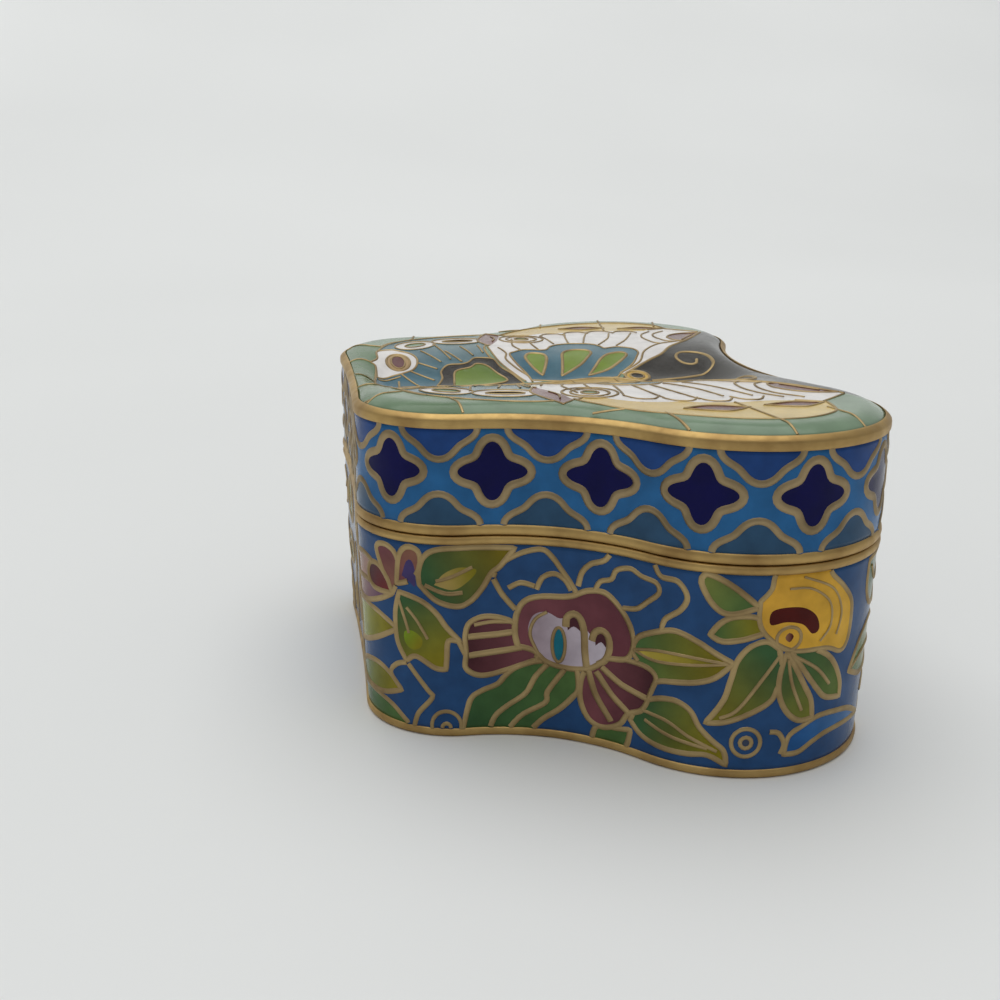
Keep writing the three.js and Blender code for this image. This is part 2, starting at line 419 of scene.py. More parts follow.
def fire_glaze(bits, field, place, ground, wires, fill):
    """The face of the enamel over a field. Each spot of it belongs to the last cell laid over it."""
    cells = [bit for bit in bits if bit.glaze]
    lines = [turned_left(line) for line in [field] + [bit.line for bit in cells]]
    points, faces = [], []
    for line in lines:
        faces.append(list(range(len(points), len(points) + len(line))))
        points += line
    drawn = kdtree.KDTree(len(points))
    for i, p in enumerate(points):
        drawn.insert((*p, 0), i)
    drawn.balance()
    soldered = kdtree.KDTree(sum(len(run) for run, _, _ in wires))
    for i, p in enumerate(p for run, _, _ in wires for p in run):
        soldered.insert((*p, 0), i)
    soldered.balance()
    points += [spot for spot in fill if drawn.find((*spot, 0))[2] > FILL_STEP / 2]
    spots, _, corners, _, _, owners = delaunay_2d_cdt(points, [], faces, 0, 1e-5, True)
    bm = bmesh.new()
    colour = bm.loops.layers.float_color.new("glaze")
    heights = []
    for spot in spots:
        gap = soldered.find((*spot, 0))[2]
        heights.append(-GLAZE_DISH * (1 - math.exp(-(gap / DISH_SPREAD) ** 2)))
    verts = [bm.verts.new(place(*spot, height)) for spot, height in zip(spots, heights)]
    for triangle, owner in zip(corners, owners):
        if 0 not in owner:
            continue
        face = bm.faces.new([verts[i] for i in triangle])
        top = max(owner)
        for loop, i in zip(face.loops, triangle):
            loop[colour] = (*glaze_at(spots[i], cells[top - 1]), 1) if top else (*ground, 1)
    bmesh.ops.delete(bm, geom=[v for v in bm.verts if not v.link_faces], context="VERTS")
    bmesh.ops.remove_doubles(bm, verts=bm.verts, dist=WELD)
    return bm


def glaze_at(spot, bit):
    if bit.glaze == bit.tip:
        return bit.glaze
    start = bit.line[0]
    far = max(bit.line, key=lambda p: (p - start).length_squared)
    along = (spot - start).dot(far - start) / (far - start).length_squared
    share = min(max(along * 1.3 - 0.15, 0), 1)
    return tuple(a + (b - a) * share for a, b in zip(bit.glaze, bit.tip))


def bend_wires(name, runs, place):
    """Sweeps a round wire along each run, presses it flat and lays it on the wall."""
    curve = bpy.data.curves.new(name, "CURVE")
    curve.dimensions = "3D"
    curve.bevel_depth = 1
    curve.bevel_resolution = 2
    curve.use_fill_caps = True
    for run, width, closed in runs:
        spline = curve.splines.new("POLY")
        spline.points.add(len(run) - 1)
        spline.use_cyclic_u = closed
        for point, spot in zip(spline.points, run):
            point.co = (*spot, -width / 2, 1)
            point.radius = width / 2
    swept = bpy.data.objects.new(name, curve)
    bm = bmesh.new()
    bm.from_mesh(swept.to_mesh())
    swept.to_mesh_clear()
    bpy.data.objects.remove(swept)
    for vert in bm.verts:
        vert.co = place(vert.co.x, vert.co.y, WIRE_CREST + vert.co.z * WIRE_FLATNESS)
    return make_piece(name, bm, crease=WIRE_CREASE)


def enamel_material(name, mottle=0.16, gloss=0.12):
    """Fired glass, polished: each colour is slightly cloudy, with the faint ripple that the stone leaves."""
    material, nodes, links, shader = new_material(name)
    where = nodes.new("ShaderNodeTexCoord").outputs["Object"]
    colour = nodes.new("ShaderNodeAttribute")
    colour.attribute_name = "glaze"
    clouds = between(nodes, links, noise(nodes, links, 420, 4, where), 1 - mottle, 1 + mottle)
    shade = nodes.new("ShaderNodeVectorMath")
    shade.operation = "SCALE"
    links.new(colour.outputs["Color"], shade.inputs[0])
    links.new(clouds, shade.inputs["Scale"])
    links.new(shade.outputs["Vector"], shader.inputs["Base Color"])
    marks = noise(nodes, links, 1500, 2, where)
    links.new(between(nodes, links, marks, 0.13, 0.23), shader.inputs["Roughness"])
    bump(nodes, links, shader, noise(nodes, links, 700, 2, where), 0.3, 0.00003)
    shader.inputs["Specular IOR Level"].default_value = gloss
    return material


def slab(name, bm):
    """Gives the glaze its thickness, inwards."""
    bmesh.ops.recalc_face_normals(bm, faces=bm.faces)
    bmesh.ops.solidify(bm, geom=bm.faces[:], thickness=ENAMEL)
    return make_piece(name, bm)


def strip_field(low, high, start=0):
    """The flat outline of a field that goes right round the wall between two heights, joined at start."""
    count = math.ceil(GIRTH / STRIP_STEP)
    along = [GIRTH * i / count for i in range(count + 1)]
    return [Vector((start + x, low)) for x in along] + [Vector((start + GIRTH - x, high)) for x in along]


def go_round(bits, start=0):
    """The bits, with those that cross the join at start laid on both sides of it."""
    wrapped = []
    for bit in bits:
        low, _, high, _ = box_round(bit.line)
        for turn in (-1, 0, 1):
            if low + turn * GIRTH < start + GIRTH and high + turn * GIRTH > start:
                wrapped += moved([bit], turn * GIRTH)
    return wrapped


def vein(*points):
    return wire(*points, width=0.4)


def eyelet(x, y):
    """A ring on the ground with a dot in its middle."""
    return [ring(x, y, 1.5, 1.5), dot(x, y, 0.6, 0.6, DOT_BLUE)]


WALL_BLUE = tint(36, 72, 116)
DOT_BLUE = tint(60, 70, 90)
DEEP_GREEN = tint(54, 88, 52)
LEAF_GREEN = tint(74, 104, 54)
OLIVE = tint(128, 118, 22)
MAUVE = tint(112, 64, 70)
DARK_MAUVE = tint(74, 36, 42)
BROWN_PINK = tint(134, 92, 74)
LILAC = tint(196, 186, 196)
LILAC_GREY = tint(158, 142, 150)
ROSE = tint(116, 44, 42)
TEAL = tint(18, 104, 122)
YELLOW = tint(208, 158, 56)
RUST = tint(74, 14, 8)

fan_bud = [
    cell([(14, 17.5), (17, 18.6), (20.2, 18.2), (23.4, 15.4, 1), (20, 15.6), (16, 15.6)], BROWN_PINK,
         tint(150, 118, 104)),
    cell([(23.4, 15.4, 1), (21.4, 14.4), (18.5, 13.5), (15.5, 13.6), (14.2, 15.2), (18, 15.9)],
         tint(104, 76, 104), BROWN_PINK),
    cell([(23.4, 15.4, 1), (21.8, 18.2), (21.2, 20.1), (22.6, 20.6), (24, 19.8), (24.4, 17.6)], BROWN_PINK,
         MAUVE),
    cell([(23.4, 15.4, 1), (20.4, 15.4), (19.2, 16.6), (19.8, 18), (21.4, 18.1), (22.7, 16.9)], ROSE,
         DARK_MAUVE),
    cell([(24, 16.6, 1), (24.4, 19.6), (25.4, 20.8), (26.7, 20.5), (26.9, 19), (26, 17.4)], MAUVE,
         BROWN_PINK),
    patch([(24.7, 17.6, 1), (25.5, 17.2), (26.3, 16.6), (26.3, 18.4), (25.9, 19.4), (25.3, 19.2)],
          tint(66, 56, 100)),
]
left_leaves = [
    cell([(24, 11.6, 1), (21, 12.8), (17, 13.2), (13.5, 12), (11, 9.6, 1), (15, 8.2), (19.6, 9.4)], OLIVE,
         tint(130, 146, 60)),
    cell([(24.2, 4.7, 1), (22.4, 6.3), (20, 6.9), (16.6, 6.2), (13.6, 4.6, 1), (17, 3.7), (21, 3.7)], OLIVE,
         LEAF_GREEN),
    cell([(24.8, 1.2, 1), (22.4, 2.8), (19, 3.4), (15, 3.2), (11.4, 1, 1), (12, 0), (24, 0)], LEAF_GREEN,
         DEEP_GREEN),
    wire((25, 8), (23.7, 7.6), (22.7, 6.4), (24.2, 4.7)),
    wire((25.2, 7.9), (27.5, 5.2), (28, 4.4), (26.3, 2.4), (25.7, 0.7)),
    ring(29.6, 1.2, 1.7, 1.7),
    dot(29.6, 1.0, 0.5, 0.5, WALL_BLUE),
]
serrated_leaf = [
    cell([(24.3, 15.8, 1), (26.8, 15.2), (28.5, 14), (29.7, 12.4), (31.2, 10.8, 1), (29.9, 10.9), (29.7, 9),
          (29.6, 7.7, 1), (28.4, 7.8), (26.2, 8.9), (25, 8.2, 1), (24.1, 9.6), (23.7, 11), (23.7, 13.5)],
         DEEP_GREEN, OLIVE),
    patch([(24.8, 11.4), (25.8, 11.7), (26.9, 11), (26.8, 10), (25.8, 9.6), (24.9, 10.2)],
          tint(124, 150, 34), OLIVE),
    wire((24.2, 15), (25, 12.7), (25.4, 11.4), width=0.36),
    wire((25.2, 14.2), (26.4, 12.9), (27.6, 11), width=0.36),
    wire((30.9, 11), (31.8, 9.2)),
]
top_leaf = [
    cell([(26.8, 16.9, 1), (26.7, 18.2), (27.3, 19.9), (28.8, 20.8), (32, 21), (36.6, 20.9, 1), (35.2, 19),
          (34.3, 18.2), (33.4, 16.6), (32.2, 15.2), (30.8, 14.7), (28.6, 15.3)], DEEP_GREEN,
         tint(112, 98, 14)),
    patch([(28.4, 17, 1), (29.4, 18.2), (31, 18.9), (32.8, 18.6), (32, 17.4), (30.4, 16.5)],
          tint(168, 144, 84), OLIVE),
    wire((27.4, 16.9), (29.6, 16.1), (31.4, 16.2), width=0.5),
    vein((28.6, 17.4), (30.2, 17.9), (32.4, 18.9)),
]
clouds = [
    wire((34.5, 17.8), (35, 19), (37, 20.3), (39.2, 20.9), (40.3, 20.2), (41.5, 18.6), (42.5, 17.2),
         (43, 16.2), width=0.72),
    wire((34.5, 17.6), (35.4, 15.9), (36.7, 14.3), width=0.72),
    wire((36, 16.6), (37.2, 17.2), (38.6, 16.9)),
    wire((38.8, 16.6), (39.4, 17.9), (40.6, 18.4), (41.7, 17.8), (42.3, 16.8)),
    wire((43, 17.4), (43.4, 18.9), (44.3, 19.9), (45.7, 20.5), (46.5, 21.6), width=0.72),
    wire((51.2, 21.4), (52, 20.2), (53.8, 20), (54.8, 18.6), (54.2, 17.2), (52.6, 15.9), (52.2, 14.7),
         width=0.72),
    wire((44.8, 17.2), (45.3, 18.2), (46.5, 18.7), (47, 19.7), (48.5, 20.2), (49.8, 19.7), (51.5, 19.4),
         (51.8, 18.4), (50.5, 17.2), (49.3, 16.2), (47.8, 15.9), width=0.66),
]
big_leaf = [
    cell([(43, 8.4, 1), (43.2, 6.1), (42.5, 4.9), (41.2, 3.4), (39.5, 2), (38.2, 0.4, 1), (31.4, 0.4, 1),
          (31.9, 2.8), (32.4, 4.4), (33.5, 5.2), (35, 5.9), (35.8, 6.9), (37, 7.9), (39.5, 8.7)],
         LEAF_GREEN, DEEP_GREEN),
    wire((40, 8.4), (38.8, 6.9), (37.8, 4.9), (36, 3.4), (34.8, 2.2), (34.2, 0.6)),
    wire((42, 8.4), (41, 6.9), (40, 5.2), (39.8, 4), (37.5, 2.4), (36.2, 0.8)),
    cell([(48.9, 2.9, 1), (47.4, 2.6), (45.2, 2.3), (44.6, 0.4, 1), (48, 0.4)], LEAF_GREEN),
]
left_fan = [
    cell([(39, 10.6, 1), (36.6, 12.8), (34, 13.5), (32.2, 12.9), (31.7, 11.4), (31.8, 9.4), (31.8, 7.8),
          (33.3, 6.9), (35.6, 7.4), (38.9, 8.8, 1)], MAUVE, DARK_MAUVE),
    wire((37.2, 11.9), (34.8, 11.5), (32, 11.3), width=0.9),
    wire((39, 10.5), (35.6, 9.7), (32.1, 9.2), width=0.9),
    wire((36.4, 12.9), (34.4, 12.9), (32.6, 12.6), width=0.5),
]
lower_fan = [
    cell([(44.3, 8.9, 1), (43.5, 7.4), (43.4, 4.9), (44.3, 2.9), (45.8, 2.3), (47.6, 3.1), (48.6, 4.6),
          (50.2, 5.6), (51.3, 8.1), (51.7, 9.6), (50.2, 10.4), (46, 10.4, 1)], MAUVE, DARK_MAUVE),
    wire((44.2, 8.4), (45, 5.8), (46.7, 3.2), width=0.9),
    wire((45, 8.4), (46.7, 6.2), (48.6, 4.7), width=0.9),
    wire((45.6, 9), (47.8, 7.6), (50.8, 6.9), width=0.9),
]
peony = [
    cell([(37, 10.2, 1), (36.7, 11.6), (36.8, 13.6), (37.5, 15.1), (39, 15.8), (42, 16.1), (44, 17),
          (45.8, 17.1), (47.2, 16.1), (48.4, 14.6), (49, 13), (48.9, 11.6), (48.2, 10.5), (46.2, 10.1, 1),
          (44.4, 8.6), (42, 8.2), (39.8, 8.7), (38.6, 9.8)], MAUVE, tint(100, 52, 60), width=0.8),
    patch([(38.4, 10.6), (38, 12.2), (38.5, 13.7), (39.8, 14.2), (41.2, 13.6), (42.6, 14.2), (43.6, 13.2),
           (44.6, 12.2), (45.6, 12.9), (46.3, 12), (46.2, 10.4), (44.6, 8.9), (42, 8.4), (39.8, 9)],
          LILAC_GREY, LILAC),
    patch([(42, 12.4, 1), (42, 13.6), (42.6, 14.1), (43.2, 13.6), (43.3, 12.5, 1), (42.6, 12.9)],
          DARK_MAUVE),
    patch([(44.9, 11.2, 1), (44.9, 12.3), (45.5, 12.9), (46.1, 12.3), (46, 11.2, 1), (45.5, 11.7)],
          DARK_MAUVE),
    wire((41.8, 12.8), (41.9, 13.8), (42.6, 14.3), (43.3, 13.8), (43.7, 12.4), (43.8, 10.4), (44, 8.7),
         width=1.0),
    wire((44.5, 11.7), (44.8, 12.6), (45.5, 13), (46.2, 12.5), (46.4, 11.2), (46, 9.9), (45.2, 9.2),
         width=0.95),
    wire((39.9, 14.2), (38.7, 13.3), (38.2, 11.6), (39, 9.6), width=0.36),
    dot(41.1, 10.7, 0.66, 1.9, TEAL, width=0.36),
]
right_leaves = [
    cell([(48.8, 11.6, 1), (49.6, 13.3), (52, 14.5), (53.8, 14.9), (56, 14.2), (58, 13.1), (59.6, 12.3, 1),
          (58, 10.7), (56, 9.9), (52.8, 9.4), (51, 9.2)], LEAF_GREEN, tint(124, 110, 14)),
    cell([(49, 11.8, 1), (51.6, 12.4), (55, 12.5), (59.2, 12.2, 1), (55, 11.6), (51.4, 11.3)],
         tint(180, 160, 66), OLIVE, width=0.34),
    cell([(48.8, 4, 1), (49.6, 5.8), (51.3, 7.1), (53.7, 7.6), (55.5, 6.9), (56.6, 5.2), (58, 3.9),
          (59.2, 2.9), (59.5, 1.4, 1), (57.5, 2.3), (55.5, 2.1), (52.7, 2.1), (50.2, 2.7)], DEEP_GREEN,
         tint(128, 116, 18)),
    vein((49.8, 5.6), (53, 5.2), (55.5, 4), (58.5, 2.8)),
    vein((50.5, 4.6), (53.5, 3.6), (57.5, 3)),
]
flower_leaves = [
    cell([(61.8, 18.1, 1), (59, 17.3), (57.3, 18.2), (56.1, 20.3), (56.5, 21.2, 1), (57.7, 20.9),
          (59.5, 19.9)], LEAF_GREEN, tint(108, 118, 56)),
    cell([(62.5, 15.5, 1), (60.5, 14.8), (58.4, 14.5), (57.2, 15.1, 1), (58.2, 16.4), (59.6, 17.1),
          (61.8, 17)], OLIVE, LEAF_GREEN),
    cell([(64.1, 13.8, 1), (62.8, 14.6), (61.2, 14.1), (60, 12.6), (59.5, 10.7), (59, 8.7), (58.2, 7.2),
          (57.2, 5.8, 1), (59, 6), (61.3, 6.9), (63.5, 8.2), (64.2, 9.5), (64.6, 11.5)], DEEP_GREEN,
         tint(120, 112, 30)),
    wire((64.3, 13.2), (62.5, 10.5), (60.3, 7.4), (58.6, 6.4), width=0.42),
    cell([(65.2, 13.6, 1), (67.4, 13.5), (69.6, 12.6), (71.2, 11.1), (72.4, 9), (72.6, 7.3, 1), (70.3, 7.8),
          (69, 8.9), (67.3, 10.9)], DEEP_GREEN, tint(86, 104, 40)),
    vein((65.6, 13), (68.6, 11.2), (70.6, 9.2)),
    cell([(64.9, 13.4, 1), (64.4, 11), (64.5, 8.9), (65.5, 7), (67, 5.9), (68.7, 5.9, 1), (68.3, 7.9),
          (67.3, 9.6), (66.1, 11.6)], DEEP_GREEN, tint(110, 112, 40)),
    wire((65.2, 12.6), (65.8, 10), (67.2, 7), width=0.38),
]
yellow_flower = [
    cell([(61.8, 18.7, 1), (62.8, 19.9), (63.3, 21.6), (66, 22.4), (68.6, 21.7), (69.5, 20.7), (71.3, 19.2),
          (72.8, 17.4), (73.1, 14.9), (72.8, 13.2), (71.8, 12.4), (69.5, 13.2), (65.5, 13.5), (63, 14.9),
          (61.9, 16.5)], YELLOW, tint(214, 166, 54), width=0.6),
    wire((64.6, 19.9), (67, 19.7), (69.4, 18), (69.8, 15.6), (68.6, 14.1), width=0.24),
    wire((66, 21), (69.6, 19.4), (71.2, 16.8), (70.8, 14.4), width=0.24),
    ring(65, 14.8, 1.3, 1.2, width=0.36),
    patch([(64.6, 14.9), (65, 15.4), (65.5, 15), (65.1, 14.4)], BROWN_PINK, RUST),
    patch([(63, 17.6), (64.4, 18), (66.4, 17.8), (67.9, 16.8), (68.4, 15.4), (67.6, 15), (66.4, 16.1),
           (64.6, 16.5), (63, 16.3)], RUST),
]
long_petals = [
    *eyelet(61.4, 3.9),
    wire((63.8, 5), (64.8, 4.8), (65.5, 3.6), (65.2, 2.5), width=0.66),
    cell([(65.6, 2.4, 1), (66, 4.3), (67.5, 5.2), (69.5, 5.9), (72, 5.8), (75, 5.2), (78.4, 3.6, 1),
          (74, 3.9), (71, 3.8), (69, 3.2), (67.3, 2.4)], tint(30, 84, 140), tint(60, 110, 160)),
]
fore_end = [
    cell([(74, 9.6, 1), (76, 12.6), (79, 14), (82.6, 13.2), (84.6, 10.8, 1), (81.4, 8.8), (77.4, 8.4)],
         LEAF_GREEN, OLIVE),
    vein((74.4, 9.8), (78, 11), (84, 10.8)),
    cell([(76, 20.8, 1), (76.2, 17.8), (78, 15.8), (81, 15.6), (83.4, 17.2), (86.4, 17.6), (87.6, 20.6, 1),
          (82, 21.4)], DEEP_GREEN, tint(112, 98, 14)),
    wire((77, 20), (79.4, 18), (83, 19), width=0.36),
    wire((79.4, 5.6), (81, 7), (83.4, 6.6), (85, 4.8), (87.4, 5), (88.8, 3), (87.6, 0.8), width=0.66),
    *eyelet(83.6, 2.8),
    wire((84.6, 13.4), (86.2, 15.2), (88.6, 15.2), (90.2, 13), width=0.66),
    cell([(89.5, 8.5, 1), (87, 10), (86, 12), (87.4, 13.6), (89.4, 13.3), (91.4, 14.8), (94, 14.6),
          (95.2, 12.6), (97, 11.4), (96.6, 9), (94.4, 7.4), (92, 6.6)], MAUVE, BROWN_PINK, width=0.6),
    cell([(91, 9), (89, 10.6), (89.6, 12.4), (91.6, 12.2), (93.4, 12.8), (94.4, 10.8), (93, 9)], LILAC,
         width=0.42),
    dot(91.6, 10.6, 0.7, 0.9, YELLOW, width=0.34),
    cell([(97, 9.6, 1), (99, 11.4), (102, 11.8), (105.4, 10.2, 1), (102.4, 8.2), (99.4, 7.8)], DEEP_GREEN,
         OLIVE),
    vein((97.4, 9.7), (101, 10.2), (105, 10.1)),
    cell([(93.4, 6.6, 1), (93.6, 4), (96, 1.8), (100, 0.9, 1), (99.4, 4), (97, 6.2)], LEAF_GREEN, OLIVE),
    vein((93.8, 6.2), (96, 4), (99.4, 1.6)),
    wire((90.6, 17), (91, 18.8), (93, 19.8), (95, 18.8), (97.2, 19.6), (99.2, 18.2), (98.6, 16),
         (96.8, 14.8), width=0.7),
    wire((93, 16.6), (94.4, 17.6), (96.4, 16.8), width=0.5),
    cell([(101, 15, 1), (102, 18.4), (105, 20.2), (108.8, 19.8, 1), (108, 16.6), (105, 14.4)], LEAF_GREEN,
         tint(108, 118, 56)),
    vein((101.6, 15.4), (104.6, 17.2), (108.2, 19.4)),
    *eyelet(104.6, 4.4),
    wire((107.4, 2), (108.6, 5), (107.6, 7.6), (109.4, 10), (109, 13), width=0.6),
]
hind_end = [
    cell([(11.6, 18.6, 1), (8.6, 20.2), (5, 19.6), (2.6, 17, 1), (5.2, 15), (9, 15.4)], DEEP_GREEN, OLIVE),
    vein((11, 18.4), (7.6, 17.8), (3.4, 17)),
    wire((10.6, 12.6), (8.8, 13.4), (6.6, 12.4), (5.6, 10.2), (3, 9.8), (2.2, 7.4), (4, 5.6), width=0.66),
    wire((9.6, 9.8), (8.2, 9.2), (8, 7.4), width=0.5),
    *eyelet(7.4, 3.4),
]
spray = (hind_end + clouds + fan_bud + left_leaves + serrated_leaf + top_leaf + big_leaf + right_leaves
         + left_fan + lower_fan + peony + flower_leaves + yellow_flower + long_petals + fore_end)


def body_place(run, z, height):
    return body_point(run, z, height - RIM_PROUD)


flowers = go_round(spray + moved(spray, HALF_GIRTH))
glaze_low, glaze_high = FOOT_RIM - GLAZE_TUCK, rim_low + GLAZE_TUCK
body_field = strip_field(glaze_low, glaze_high)
body_runs = uncovered(flowers, body_field)
body_face = fire_glaze(flowers, body_field, body_place, WALL_BLUE, body_runs, even_fill(body_field))
body_enamel = slab("vessel_enamel", body_face)
body_enamel.data.materials.append(enamel_material("flowered_enamel"))
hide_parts("body_enamel")

wire_gilt = gilt_material("wire_gilt", (0.26, 0.18, 0.085), (0.42, 0.31, 0.15), 0.4)
body_wires = bend_wires("vessel_wires", body_runs, body_place)
body_wires.data.materials.append(wire_gilt)

# The enamel under the floor. The underside gets one plain coat of turquoise glaze, fired at the same time
# as the flowers, so that the copper doesn't warp. It stays clear of the table inside the foot.
BASE_ENAMEL = 0.5
base_low = BASE_SEAT - ENAMEL_GAP - BASE_ENAMEL
counter_enamel, nodes, links, shader = new_material("counter_enamel")
specks = noise(nodes, links, 520, 4)
turquoise = ramp(nodes, links, specks, [(0.3, tint(14, 84, 118)), (0.68, tint(32, 118, 150))])
links.new(turquoise, shader.inputs["Base Color"])
links.new(between(nodes, links, noise(nodes, links, 900), 0.16, 0.34), shader.inputs["Roughness"])
bump(nodes, links, shader, noise(nodes, links, 480, 3), 0.5, 0.0001)
base_enamel = draw_skin("underside_enamel", [
    body_line(FOOT_WIDTH - 0.1, BASE_SEAT),
    body_line(FOOT_WIDTH - 0.1, base_low + 0.15),
    body_line(FOOT_WIDTH + 0.25, base_low),
])
base_enamel.data.materials.append(counter_enamel)
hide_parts("base_enamel")

# The lid. Its wall is bent to the same outline as the vessel's and its top is hammered up over each wing,
# with a valley along the butterfly's body. A strip goes round the lower edge and a bead round the top one,
# and both are gilded. The lid drops over the lip and lies loose on the vessel.
SEAM_GAP = 0.25
SEAM_TOUCH = 0.06
LID_FOOT = BODY_HEIGHT + SEAM_GAP
LID_HEIGHT = 11.55
LID_RIM, BEAD_HEIGHT, BEAD_WIDTH = 0.95, 0.9, 0.7
DOME_RISE, DOME_EDGE = 1.47, 3.1
VALLEY_DEPTH, VALLEY_EDGE, VALLEY_HALF_WIDTH = 3.06, 5.0, 8.9
SEAT_DROP = ENAMEL + ENAMEL_GAP
CEILING_FILLET = 1.3


def lid_line(inset, z):
    return [Vector((x, y, LID_FOOT + z)) for x, y in round_the_plan(inset)]


def dome_height(y, inset):
    """Height of the lid's top at y from the body axis, as far in from the edge as inset."""
    rise = min(inset / DOME_EDGE, 1)
    share = min(max(inset / VALLEY_EDGE, 0), 1)
    valley = VALLEY_DEPTH * math.exp(-((y / VALLEY_HALF_WIDTH) ** 2))
    return LID_FOOT + LID_HEIGHT + DOME_RISE * rise * (2 - rise) - share * share * (3 - 2 * share) * valley


def dome_line(inset, drop, shrink=1.0):
    around = [(x * shrink, y * shrink) for x, y in round_the_plan(inset)]
    return [Vector((x, y, dome_height(y, inset) - drop)) for x, y in around]


shrinks = [0.9, 0.75, 0.6, 0.45, 0.3, 0.18, 0.08]
insets = [BEAD_WIDTH + 0.06, 1.2, 1.8, 2.4, DOME_EDGE, 4, VALLEY_EDGE]
ceiling_drop = SEAT_DROP + COPPER
bead_low = LID_HEIGHT - BEAD_HEIGHT
bead = [(0.32, 0), (0.1, 0.06), (0.02, 0.2), (0, 0.42), (0, BEAD_HEIGHT - 0.12)]
bead_top = [(0.03, 0), (0.12, -0.045), (0.26, -0.06), (0.42, -0.06), (0.56, -0.04), (0.66, 0.02)]
lid_shell = draw_skin("lid_copper", [
    *[dome_line(VALLEY_EDGE, ceiling_drop, shrink) for shrink in reversed(shrinks)],
    *[dome_line(inset, ceiling_drop) for inset in (VALLEY_EDGE, 4, INNER_WALL + CEILING_FILLET)],
    lid_line(INNER_WALL + 0.4, bead_low - COPPER + 0.35),
    lid_line(INNER_WALL, bead_low - COPPER),
    lid_line(INNER_WALL, SEAM_TOUCH - SEAM_GAP),
    *round_strip(lid_line, SEAM_TOUCH - SEAM_GAP, LID_RIM),
    lid_line(SEAT, LID_RIM),
    lid_line(SEAT, bead_low),
    *[lid_line(inset, bead_low + up) for inset, up in bead],
    *[dome_line(inset, drop) for inset, drop in bead_top],
    *[dome_line(inset, SEAT_DROP) for inset in insets],
    *[dome_line(VALLEY_EDGE, SEAT_DROP, shrink) for shrink in shrinks],
])
lid_shell.data.materials.append(rim_gilt)
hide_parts("lid_shell")

# The enamel round the lid's wall. Twenty-one navy stars stand in four-lobed wires, and half-lobed arches
# fill the corners between them, above and below, on a clear blue ground.
BAND_BLUE = tint(38, 96, 146)
ARCH_BLUE = tint(30, 66, 124)
ARCH_TEAL = tint(44, 76, 104)
NAVY = tint(4, 4, 66)
STARS = 21
STAR_RUN = 2.2
STAR_HEIGHT = 28.85
LOBED_STEPS = 56


def lobed(x, y, across, up, pinch, width, glaze):
    """A four-lobed wire round (x, y). pinch is how far it draws in between its lobes."""
    line = []
    for i in range(LOBED_STEPS):
        t = 2 * math.pi * i / LOBED_STEPS
        reach = 1 - pinch * math.sin(2 * t) ** 2
        line.append(Vector((x + across * reach * math.cos(t), y + up * reach * math.sin(t))))
    return Bit(line, glaze, glaze, width, True)


def band_repeat(x):
    """One star, and the half-lobes to the right of it on the lower and the upper edge."""
    low, high = LID_FOOT + LID_RIM, LID_FOOT + bead_low
    between_stars = x + GIRTH / STARS / 2
    return [
        lobed(between_stars, low, 4.2, 3.2, 0.24, 0.9, ARCH_TEAL),
        lobed(between_stars, high + 0.1, 3.9, 3.1, 0.22, 0.9, ARCH_BLUE),
        lobed(x, STAR_HEIGHT, 4.3, 3.85, 0.34, 0, BAND_BLUE),
        lobed(x, STAR_HEIGHT, 3.85, 3.4, 0.36, 1.1, NAVY),
    ]


def band_place(run, z, height):
    return Vector((*wall_at(run, RIM_PROUD - height), z))


stars = go_round([bit for i in range(STARS) for bit in band_repeat(STAR_RUN + GIRTH / STARS * i)], STAR_RUN)
band_field = strip_field(LID_FOOT + LID_RIM - GLAZE_TUCK, LID_FOOT + bead_low + GLAZE_TUCK, STAR_RUN)
band_runs = uncovered(stars, band_field)
band_face = fire_glaze(stars, band_field, band_place, BAND_BLUE, band_runs, even_fill(band_field))
band_enamel = slab("lid_band_enamel", band_face)
band_enamel.data.materials.append(enamel_material("starred_enamel"))
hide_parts("lid_side_enamel")
band_wires = bend_wires("lid_band_wires", band_runs, band_place)
dull_gilt = gilt_material("dull_wire_gilt", (0.22, 0.165, 0.09), (0.36, 0.27, 0.15), 0.4)
band_wires.data.materials.append(dull_gilt)

# The enamel on the lid's top, a butterfly seen from above with its wings spread to the outline of the box.
# Each wing has a grey-green border, white, lime and teal feathers between thin wires, and eye spots. One
# side mirrors the other, a little stretched, and the yellow body lies in the valley between them.
TOP_EDGE, TOP_SINK = 0.6, 0.1
BORDER_GREEN = tint(116, 138, 112)
TAIL_GREEN = tint(84, 112, 74)
TEAL_BLUE = tint(56, 98, 114)
WING_WHITE = tint(222, 218, 214)
PETAL_LIME = tint(116, 138, 44)
BAND_YELLOW = tint(196, 166, 92)
PURPLE = tint(100, 60, 60)
NIGHT = tint(48, 44, 38)
TAN = tint(170, 140, 96)
THIN = 0.28
SLOPE_WIDTH = 6.6
SLOPE_ROUNDS = 14
NEAR_STRETCH = 1.045
ARC_OVERLAP = 0.02


def fine(points, glaze, tip=None, width=THIN):
    return cell(points, glaze, tip, width)


def rib(*points, width=0.26):
    return wire(*points, width=width)


